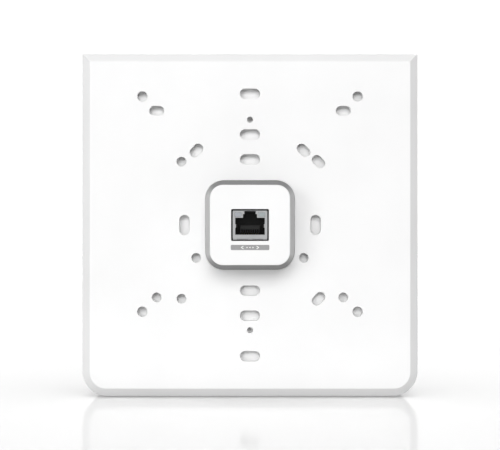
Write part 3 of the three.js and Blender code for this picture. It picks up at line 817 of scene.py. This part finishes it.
def jack_shell():
    """Folded shield: a front with the mouth and two windows, four walls, three tabs, a lip and fingers."""
    low, high = SHIELD
    bottom = low.z + FOOT_TALL
    tall = high.z - bottom
    inside = JACK_FACE + SHEET
    made = Surface()
    ends = [made.sweep(
        RoundRect(high.x - low.x, tall, 0.55 * MM, (0, bottom + tall / 2), steps=6),
        (JACK_FACE, -0.37 * MM), (JACK_FACE, 0, 0.34 * MM), (high.y, 0, CRISP),
        (high.y, -SHEET, CRISP), (inside, -SHEET, CRISP), (inside, -SHEET - 0.02 * MM),
    )]
    punched = [mouth(0, 0.12 * MM, 0.3 * MM)]
    punched += [led_outline(node, CRISP) for node in LENSES]
    for outline in punched:
        ends.append(made.sweep(
            outline,
            (JACK_FACE, 0.08 * MM), (JACK_FACE, 0, 0.07 * MM), (inside, 0, 0.02 * MM), (inside, 0.04 * MM),
        ))
    made.faces(*zip(*ends))
    data = made.data("jack_shell")
    foot_z = low.z + FOOT_TALL / 2
    for x in TABS:
        tab = RoundRect(TAB_WIDTH, FOOT_TALL + 0.2 * MM, 0.12 * MM, (x, foot_z + 0.1 * MM), steps=3)
        tab = Surface().slab(tab, JACK_FACE, JACK_FACE + 2 * MM, 0.06 * MM)
        data = combine(data, tab, "UNION")
    lip = RoundRect(LIP_WIDTH, FOOT_TALL, SLIGHT, (0, foot_z + 0.06 * MM), steps=3)
    data = combine(data, Surface().slab(lip, inside, JACK_FACE + 1.6 * MM, CRISP), "UNION")
    piece("jack_shield", data, NICKEL, ["jack_shell"])
    side_finger(-1, "left")
    side_finger(1, "right")


def side_finger(side, name):
    """A sprung tongue that grips the plug from the side."""
    root, bulge = side * (CAVITY_HALF - 0.02 * MM), side * (CAVITY_HALF - 0.75 * MM)
    stops = [
        (root, JACK_FACE + 0.5 * MM), (root, JACK_FACE + 1.2 * MM, ROUND),
        (bulge, JACK_FACE + 3.6 * MM, 1.2 * MM), (root, JACK_FACE + 6.4 * MM),
    ]
    made = Surface("Z").slab(strip(stops, 0.2 * MM), FINGER[0] + 0.1 * MM, FINGER[1] - 0.1 * MM, CRISP)
    piece(f"jack_finger_{name}", made, NICKEL)


CONTACTS = [f"jack_contact_{i}" for i in range(1, 9)]


def jack_insert():
    """The socket's plastic body: cavity, contact grooves, comb and room for the lenses."""
    at, size, front, back = footprint("jack_insert")
    outline = RoundRect(*size, SOFT, at, steps=4)
    data = Surface().slab(outline, front, back, SLIGHT).data("jack_insert")
    socket = Surface().solid(mouth(0.15 * MM, SLIGHT), (front - 1 * MM, 0), (CAVITY_END, 0))
    data = combine(data, socket)
    data = combine(data, contact_ways(front))
    data = combine(data, comb(), "UNION")
    lamps = Surface()
    for node in LENSES:
        lamp_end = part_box(node)[1].y + 0.3 * MM
        lamps.slab(led_outline(node, 0.15 * MM), front - 1 * MM, lamp_end, CRISP)
    data = combine(data, lamps)
    piece("jack_body", data, NYLON, ["jack_insert"])


def contact_ways(front):
    """Grooves in the socket's floor, one under each contact, open to the board behind."""
    made = Surface()
    for node in CONTACTS:
        low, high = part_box(node)
        floor = low.z - 0.15 * MM
        roof = CAVITY_LOW + 0.3 * MM
        at = ((low.x + high.x) / 2, (floor + roof) / 2)
        groove = RoundRect(high.x - low.x + 0.3 * MM, roof - floor, 0.08 * MM, at, steps=2)
        made.slab(groove, front + 0.5 * MM, CAVITY_END, 0.03 * MM)
    return made


def comb():
    """The bar at the back of the socket that keeps the contact tips apart."""
    low, high = COMB
    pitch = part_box(CONTACTS[1])[0].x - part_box(CONTACTS[0])[0].x
    width, drop = TOOTH
    corners = []
    for i in range(len(CONTACTS) + 1):
        left = (i - 4) * pitch - width / 2
        right = left + width
        corners += [(left, low), (left, low - drop), (right, low - drop), (right, low)]
    corners += mirrored([(COMB_HALF, low), (COMB_HALF, high)])
    return Surface().slab(Polygon(corners), CAVITY_END - 7.5 * MM, CAVITY_END + 0.5 * MM, CRISP)


def jack_contacts():
    """Sprung wires: a tail under the floor, a bend at the mouth, and an arm up to the comb."""
    wire = 0.28 * MM
    for node in CONTACTS:
        low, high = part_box(node)
        tail, tip, bend = low.z + wire / 2, high.z - wire / 2, low.y + wire / 2
        stops = [
            (high.y, tail), (bend, tail, SMALL), (bend, tail + 0.46 * MM, SMALL),
            (low.y + 0.9 * MM, tail + 0.56 * MM, SOFT), (-5.6 * MM, tip - 0.05 * MM, 0.8 * MM),
            (-5.2 * MM, tip),
        ]
        made = Surface("X").slab(strip(stops, wire), low.x, high.x, CRISP)
        piece(f"{node}_wire", made, GOLD, [node])


def jack_leds():
    for node, lens in LENSES.items():
        low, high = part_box(node)
        made = Surface().slab(led_outline(node), low.y, high.y, 0.12 * MM)
        piece(f"{node}_lens", made, lens, [node])


def port_label():
    """A printed bar with a generic port symbol: a dot row between two chevrons."""
    at, size, front, back = footprint("port_label")
    ink = 0.02 * MM
    bar = RoundRect(*size, 0.4 * MM, at, steps=6)
    made = Surface().slab(bar, front + ink, back, 0.03 * MM)
    piece("port_label_bar", made, INK_GREY, ["port_label"])
    reach, stroke = 0.62 * MM, 0.34 * MM
    outlines = []
    for side in (-1, 1):
        tip, tail = side * 3.9 * MM, side * 2.9 * MM
        arms = [(tail, at[1] + reach), (tip, at[1], CRISP), (tail, at[1] - reach)]
        outlines.append(strip(arms, stroke))
    outlines += [circle(0.3 * MM, (x * MM, at[1]), steps=4) for x in (-1.3, 0, 1.3)]
    marks = Surface()
    for outline in outlines:
        marks.slab(outline, front, front + 1.5 * ink, 0.2 * ink)
    piece("port_label_symbol", marks, INK_WHITE)


# ---- on the board ----
DIMPLE = (1.2 * MM, 0.3 * MM)  # radius, depth
DIMPLE_OUT = 0.28  # of the lid's width and height
CAN_GROOVE = 0.4 * MM
LEG = 3.2 * MM
CORE_BAR = 0.7 * MM
DRUM_R = 4.6 * MM
LEAD_REACH = 1.4 * MM
LEAD_PITCH = 1.8 * MM
CHIP = (1.6 * MM, 0.8 * MM)
CHIP_TALL = 0.55 * MM
CHIP_PITCH = 3.1 * MM
CHIP_ROWS = (37, 33.5, -3, -6.5, -33)  # Z, in mm
CHIP_SHIFT = 1.2 * MM
RECESS = (1.15 * MM, 0.8 * MM)  # radius, depth
THREAD_DEPTH = 0.2 * MM


def numbered(start):
    return sorted(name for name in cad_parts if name.startswith(start))


def shield_cans():
    """Drawn cans: a lid that snaps over a fence, with four dimples."""
    radius, deep = DIMPLE
    for node in numbered("shield_can"):
        at, size, low, high = footprint(node)
        fence, lid = low + 1.1 * MM, -0.15 * MM
        made = Surface()
        foot, top = made.sweep(
            RoundRect(*size, 0.8 * MM, at),
            (low, -0.4 * MM), (low, 0), (fence, 0, SLIGHT), (fence, lid, CRISP),
            (high, lid, 0.35 * MM), (high, -1 * MM),
        )
        ends = [top]
        for x, z in CORNERS:
            spot = (at[0] + x * size[0] * DIMPLE_OUT, at[1] + z * size[1] * DIMPLE_OUT)
            rim, floor = made.sweep(
                circle(radius, spot),
                (high, 0.3 * MM), (high, 0, FINE), (high - deep, -0.3 * MM, FINE), (high - deep, -0.8 * MM),
            )
            ends.append(rim)
            made.face(floor)
        made.faces([foot], ends)
        piece(f"{node}_lid", made, TIN, [node])


def antennas():
    """Stamped inverted-F antennas: a foot, a leg and a plate with round bends."""
    sheet, foot, bend = 0.5 * MM, 6 * MM, 0.9 * MM
    for node in numbered("antenna"):
        low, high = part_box(node)
        out, leg, tip = (-1, low.x, high.x) if low.x < 0 else (1, high.x, low.x)
        leg -= out * sheet / 2
        stops = [
            (leg - out * foot, low.y + sheet / 2), (leg, low.y + sheet / 2, bend),
            (leg, high.y - sheet / 2, bend), (tip, high.y - sheet / 2),
        ]
        made = Surface("Z").slab(strip(stops, sheet), low.z, high.z, 0.08 * MM)
        piece(f"{node}_sheet", made, ANTENNA_TIN, [node])


def capacitors():
    """Aluminium cans with a crimped groove, on black bases with two cut corners."""
    cut = 1.4 * MM
    for node in numbered("capacitor"):
        at, size, low, high = footprint(node)
        radius, base = size[0] / 2, low + 0.8 * MM
        groove = base + 1.5 * MM
        made = Surface().solid(
            circle(radius - 0.1 * MM, at, steps=10),
            (base, -1 * MM), (base, 0, SMALL), (groove - 0.5 * MM, 0, SOFT), (groove, -CAN_GROOVE, SOFT),
            (groove + 0.5 * MM, 0, SOFT), (high, 0, 0.7 * MM), (high, -1.5 * MM),
        )
        piece(f"{node}_can", made, CAN, [node])
        left, right, bottom, top = at[0] - radius, at[0] + radius, at[1] - radius, at[1] + radius
        corners = [
            (left, bottom), (right - cut, bottom), (right, bottom + cut),
            (right, top - cut), (right - cut, top), (left, top),
        ]
        made = Surface().slab(Polygon(corners), low, base - 0.02 * MM, SLIGHT)
        piece(f"{node}_base", made, EPOXY)


def transformer():
    """A wound bobbin inside a ferrite frame."""
    at, size, low, high = footprint("power_transformer")
    width, height = size[0] - 2 * LEG, size[1] - 2 * CORE_BAR
    near, far = low + 1 * MM, high - 1.2 * MM
    made = Surface()
    outer = made.sweep(
        RoundRect(*size, 0.8 * MM, at),
        (near, -0.6 * MM), (near, 0, SOFT), (far, 0, SOFT), (far, -0.6 * MM),
    )
    inner = made.sweep(
        RoundRect(width, height, 1 * MM, at),
        (near, 0.4 * MM), (near, 0, SMALL), (far, 0, SMALL), (far, 0.4 * MM),
    )
    made.faces(*zip(outer, inner))
    piece("power_transformer_core", made, FERRITE, ["power_transformer"])
    wound = RoundRect(width - 0.3 * MM, height - 0.3 * MM, 0.9 * MM, at)
    made = Surface().slab(wound, low, high, 1.1 * MM)
    piece("power_transformer_winding", made, TAPE)


def inductor():
    """A moulded block with a round drum showing in its top."""
    at, size, low, high = footprint("power_inductor")
    top_y, groove = high - 0.3 * MM, high - 1 * MM
    made = Surface()
    foot, top = made.sweep(
        RoundRect(*size, 1.6 * MM, at),
        (low, -0.6 * MM), (low, 0, SOFT), (top_y, 0, ROUND), (top_y, -0.55 * MM),
    )
    rim, drum = made.sweep(
        circle(DRUM_R, at, steps=10),
        (top_y, 0.5 * MM), (top_y, 0, SLIGHT), (groove, -0.1 * MM, SLIGHT), (groove, -0.5 * MM, SLIGHT),
        (high, -0.6 * MM, SOFT), (high, -1.5 * MM),
    )
    made.faces([foot], [top, rim], [drum])
    piece("power_inductor_block", made, FERRITE, ["power_inductor"])


def magnetics():
    """A moulded transformer block with eight gull-wing leads on each long side."""
    at, size, low, high = footprint("ethernet_magnetics")
    parting, foot = (low + high) / 2, low + 0.3 * MM
    made = Surface().solid(
        RoundRect(size[0], size[1] - 2 * LEAD_REACH, SOFT, at),
        (foot, -0.9 * MM), (foot, -0.2 * MM, SLIGHT), (parting, 0), (high, -0.2 * MM, FINE),
        (high, -0.9 * MM),
    )
    piece("ethernet_magnetics_body", made, EPOXY, ["ethernet_magnetics"])
    leads = Surface("X")
    lead = 0.25 * MM
    low += lead / 2
    for side in (-1, 1):
        wall = at[1] + side * (size[1] / 2 - LEAD_REACH - 0.1 * MM)
        tip = at[1] + side * size[1] / 2
        elbow = wall + side * 0.6 * MM
        line = strip([(parting, wall), (parting, elbow, SMALL), (low, elbow, SMALL), (low, tip)], lead)
        for i in range(8):
            x = at[0] + (i - 3.5) * LEAD_PITCH
            leads.slab(line, x - 0.3 * MM, x + 0.3 * MM, 0.04 * MM)
    piece("ethernet_magnetics_leads", leads, TIN)


def board_chips():
    """Rows of small resistors and capacitors round the shielded parts."""
    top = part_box("main_board")[1].y
    made = Surface()
    for row, level in enumerate(CHIP_ROWS):
        for i in range(13):
            at = ((i - 6) * CHIP_PITCH + (row % 2) * CHIP_SHIFT, level * MM)
            chip = RoundRect(*CHIP, SLIGHT, at, 90 * (i % 3 == 0), steps=2)
            made.slab(chip, top, top + CHIP_TALL, CRISP)
    piece("main_board_chips", made, EPOXY)


def light_parts():
    """The status light on the board and the guide that brings it to the front."""
    at, size, low, high = footprint("light_guide")
    made = Surface().slab(stadium(size, at), low, high, SMALL)
    piece("light_guide_body", made, CLEAR, ["light_guide"])
    at, size, low, high = footprint("status_led")
    made = Surface().slab(RoundRect(*size, 0.25 * MM, at, steps=4), low, high, FINE)
    piece("status_led_body", made, LED_CLEAR, ["status_led"])


def screws():
    """Pan heads with a hexagonal recess, and rolled threads."""
    recess_r, recess_depth = RECESS
    for node in numbered("housing_screw") + numbered("board_screw"):
        at, size, low, high = footprint(node)
        head, end, way = (low, high, 1) if node.startswith("housing") else (high, low, -1)
        seat, recess = head + way * HEAD_T, head + way * recess_depth
        crest = SHANK_R - size[0] / 2
        root = crest - THREAD_DEPTH
        thread = []
        for i in range(int(abs(end - seat) / THREAD_PITCH) - 1):
            y = seat + way * (i + 0.5) * THREAD_PITCH
            thread += [(y, root), (y + way * THREAD_PITCH / 2, crest)]
        made = Surface()
        face, tip = made.sweep(
            circle(size[0] / 2, at, steps=6),
            (head, -1 * MM), (head, 0, 0.6 * MM), (seat, 0, SLIGHT), (seat, crest), *thread,
            (end - way * 0.5 * MM, root), (end, root - 0.4 * MM),
        )
        corners = [radians(60 * i) for i in range(6)]
        hexagon = [(at[0] + recess_r * cos(a), at[1] + recess_r * sin(a)) for a in corners]
        rim, floor = made.sweep(
            Polygon(hexagon),
            (head, 0.1 * MM), (head, 0, CRISP), (recess, 0, CRISP), (recess, -0.3 * MM),
        )
        made.faces([tip], [face, rim], [floor])
        piece(f"{node}_thread", made, STEEL, [node])


def soften(obj, width):
    """Rounds the edges of a CAD solid without touching its mesh."""
    obj.modifiers.new("join", "WELD").merge_threshold = 0.001 * MM
    flat = obj.modifiers.new("flatten", "DECIMATE")
    flat.decimate_type = "DISSOLVE"
    flat.angle_limit = radians(1)
    bevel = obj.modifiers.new("round", "BEVEL")
    bevel.width = width
    bevel.segments = 3
    bevel.limit_method = "ANGLE"
    obj.modifiers.new("even", "WEIGHTED_NORMAL").keep_sharp = True


def kept_nodes():
    """CAD nodes that keep their shape get rounded edges and a finish."""
    finishes = {
        "heat_spreader": (ALUMINIUM, SOFT), "main_board": (BOARD_BLACK, SLIGHT),
        "reset_switch": (BLACK, 0.12 * MM), "switch_plunger": (BLACK, SLIGHT),
        "reset_button": (LATCH_WHITE, 0.25 * MM),
        **{pad: (SILICONE, 0.08 * MM) for pad in numbered("thermal_pad")},
    }
    for name, (material, width) in finishes.items():
        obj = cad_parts[name]
        obj.data.materials.clear()
        obj.data.materials.append(material)
        soften(obj, width)


# ---- scene ----
TABLE_GAP = 0.4 * MM
TABLE_LIGHT = 2.16
TABLE_LIGHT_SPREAD = radians(60)
TABLE_LIGHT_TILT = radians(15)
TABLE_HALF = 4.0
# strengths of the room: as seen, and as diffuse light from below and from above
ROOM_SEEN = 1.12
ROOM_BELOW = 0.5
ROOM_ABOVE = 0.19
HORIZON = 0.15  # those two blend over directions this near to level
CAMERA_Y = -0.480
LENS_MM = 75.2
SENSOR_MM = 36.0


def camera():
    data = bpy.data.cameras.new("camera")
    data.lens = LENS_MM
    data.sensor_width = SENSOR_MM
    obj = add_object("camera", data)
    obj.location = (0, CAMERA_Y, 0)
    obj.rotation_euler = (radians(90), 0, 0)
    bpy.context.scene.camera = obj


def floor():
    """A glossy white table. It throws no light back at the object, and takes a light of its own."""
    data = bpy.data.meshes.new("floor")
    verts = [(x * TABLE_HALF, y * TABLE_HALF, FLOOR_Z - TABLE_GAP) for x, y in CORNERS]
    data.from_pydata(verts, [], [(0, 1, 2, 3)])
    made = Finish("floor_gloss", Roughness=0.1)
    made.colour(made.noise(0.4), grey(0.9), grey(0.92))
    data.materials.append(made.material)
    obj = add_object("floor", data)
    obj.visible_diffuse = False
    return obj


def area_light(name, at, size, power, aim=(0, 0, 0)):
    data = bpy.data.lights.new(name, "AREA")
    data.shape = "RECTANGLE"
    data.size, data.size_y = size
    data.energy = power
    obj = add_object(name, data)
    obj.location = at
    obj.rotation_euler = (Vector(aim) - Vector(at)).to_track_quat("-Z", "Y").to_euler()
    obj.visible_camera = False
    return obj


def lights(table):
    """Soft boxes round the object, which pass the table by, and a broad light for the table alone."""
    kept_off = bpy.data.collections.new("all_but_the_table")
    kept_off.objects.link(table)
    kept_off.collection_objects[0].light_linking.link_state = "EXCLUDE"
    boxes = [
        area_light("front_up", (0, -1.5, 0.7), (1.0, 0.7), 16),
        area_light("front_left", (-0.9, -1.4, 0.2), (0.7, 0.9), 8.5),
        area_light("front_right", (0.9, -1.4, 0.2), (0.7, 0.9), 1.4),
        area_light("top_box", (0, -0.1, 1.2), (0.8, 0.6), 0.8),
        area_light("table_glow", (0, -0.04, FLOOR_Z + 1 * MM), (0.2, 0.06), 0.012, (0, -0.04, 1)),
        area_light("rear_fill", (0.3, 1.6, 0.6), (1.2, 1.0), 26),
    ]
    for box in boxes:
        box.light_linking.receiver_collection = kept_off
        box.visible_glossy = box.name == "rear_fill"
    data = bpy.data.lights.new("table_light", "SUN")
    data.energy = TABLE_LIGHT
    data.angle = TABLE_LIGHT_SPREAD
    obj = add_object("table_light", data)
    obj.rotation_euler = (TABLE_LIGHT_TILT, 0, 0)
    only = bpy.data.collections.new("the_table")
    only.objects.link(table)
    obj.light_linking.receiver_collection = only


def backdrop():
    """A white room for the eye and for reflections, and a dim one for diffuse light.

    The dim one is brighter from below, in place of what a white table throws back.
    """
    world = bpy.data.worlds.new("studio")
    bpy.context.scene.world = world
    world.use_nodes = True
    tree = world.node_tree
    seen = tree.nodes["Background"]
    seen.inputs["Color"].default_value = (1, 1, 1, 1)
    seen.inputs["Strength"].default_value = ROOM_SEEN
    level = add_node(tree, "SeparateXYZ", "Z", {"Vector": add_node(tree, "TexCoord", "Generated")})
    ends = {"From Min": -HORIZON, "From Max": HORIZON, "To Min": ROOM_BELOW, "To Max": ROOM_ABOVE}
    fade = add_node(tree, "MapRange", "Result", {"Value": level}, ends)
    dim = add_node(tree, "Background", "Background", {"Strength": fade}, {"Color": (1, 1, 1, 1)})
    diffuse = add_node(tree, "LightPath", "Is Diffuse Ray")
    mix = add_node(tree, "MixShader", "Shader", {"Fac": diffuse, 1: seen.outputs[0], 2: dim})
    tree.links.new(mix, tree.nodes["World Output"].inputs["Surface"])
    bpy.context.scene.view_settings.view_transform = "Standard"


camera()
mounting_plate()
rear_housing()
front_cover()
release_latch()
latch_spring()
jack_shell()
jack_insert()
jack_contacts()
jack_leds()
port_label()
shield_cans()
antennas()
capacitors()
transformer()
inductor()
magnetics()
board_chips()
light_parts()
screws()
kept_nodes()
lights(floor())
backdrop()
